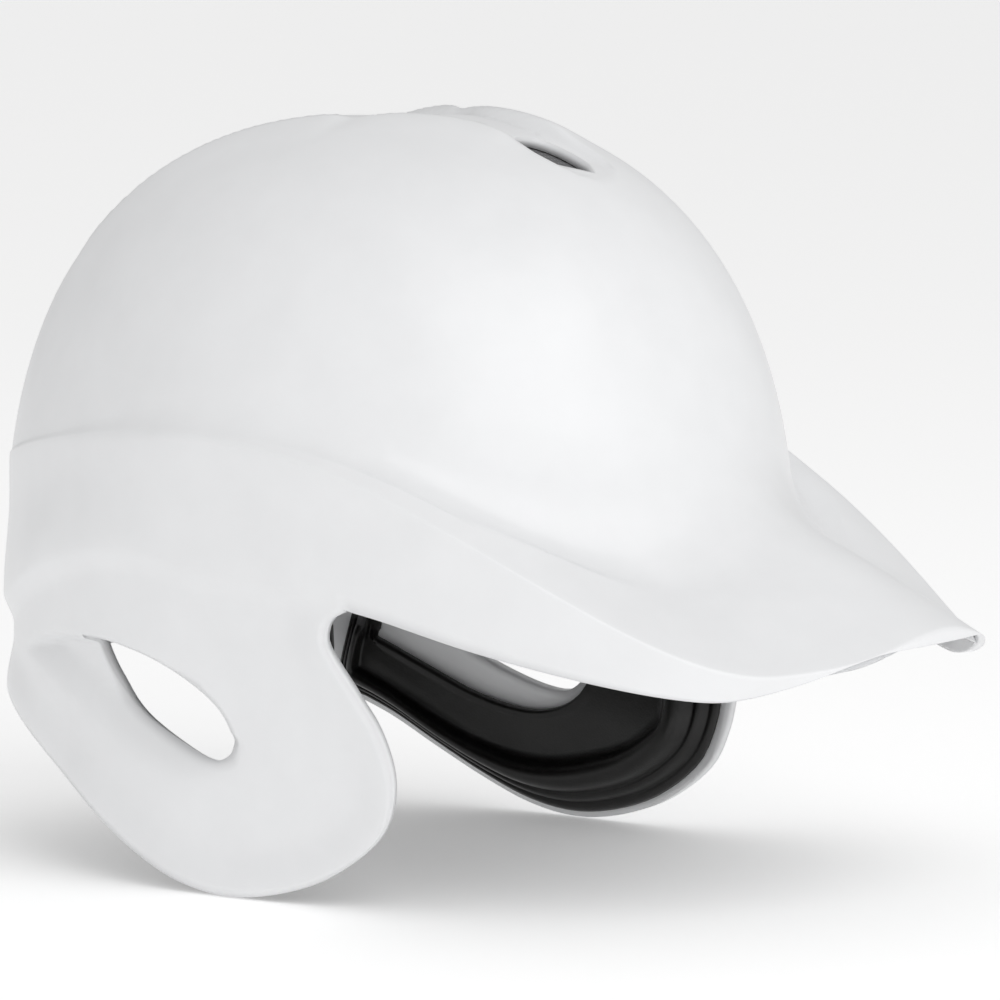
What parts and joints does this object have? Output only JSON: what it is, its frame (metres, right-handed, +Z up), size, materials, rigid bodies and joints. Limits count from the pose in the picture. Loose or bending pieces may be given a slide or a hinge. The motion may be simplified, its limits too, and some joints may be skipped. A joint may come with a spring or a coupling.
{
  "type": "batting helmet",
  "caption": "Open-face batting helmet with a bill, two ear flaps with leaf-shaped ear holes, crown vents, a segmented foam liner and soft comfort pads.",
  "frame": {"origin": "on the middle plane, midway between the ears, at the height of the bill's root", "axes": "+X towards the front of the bill, +Y to the wearer's left, +Z up through the crown"},
  "size_m": [0.3128, 0.2078, 0.218],
  "materials": {
    "shell": "gloss moulded ABS",
    "mesh": "knitted mesh",
    "tape": "double-sided foam tape",
    "liner_foam": "moulded bead foam",
    "pad_cloth": "brushed knit over foam",
    "hook_tape": "woven hook tape",
    "loop_tape": "brushed loop tape",
    "ear_pad_skin": "satin moulded skin with fine grain",
    "soft_foam": "open-cell foam"
  },
  "bodies": {
    "root": {"outer_shell": "shell", "vent_mesh": "mesh", "liner_tape": "tape", "ear_pad_tape": "tape", "liner_crown": "liner_foam", "liner_front": "liner_foam", "liner_left": "liner_foam", "liner_rear": "liner_foam", "liner_right": "liner_foam", "forehead_pad": "pad_cloth", "side_pad_left": "pad_cloth", "nape_pad": "pad_cloth", "side_pad_right": "pad_cloth", "crown_pad": "pad_cloth", "hook_patches": "hook_tape", "loop_patches": "loop_tape", "ear_pad_cover_left": "ear_pad_skin", "ear_pad_cover_right": "ear_pad_skin", "ear_pad_foam_left": "soft_foam", "ear_pad_foam_right": "soft_foam"}
  },
  "joints": []
}
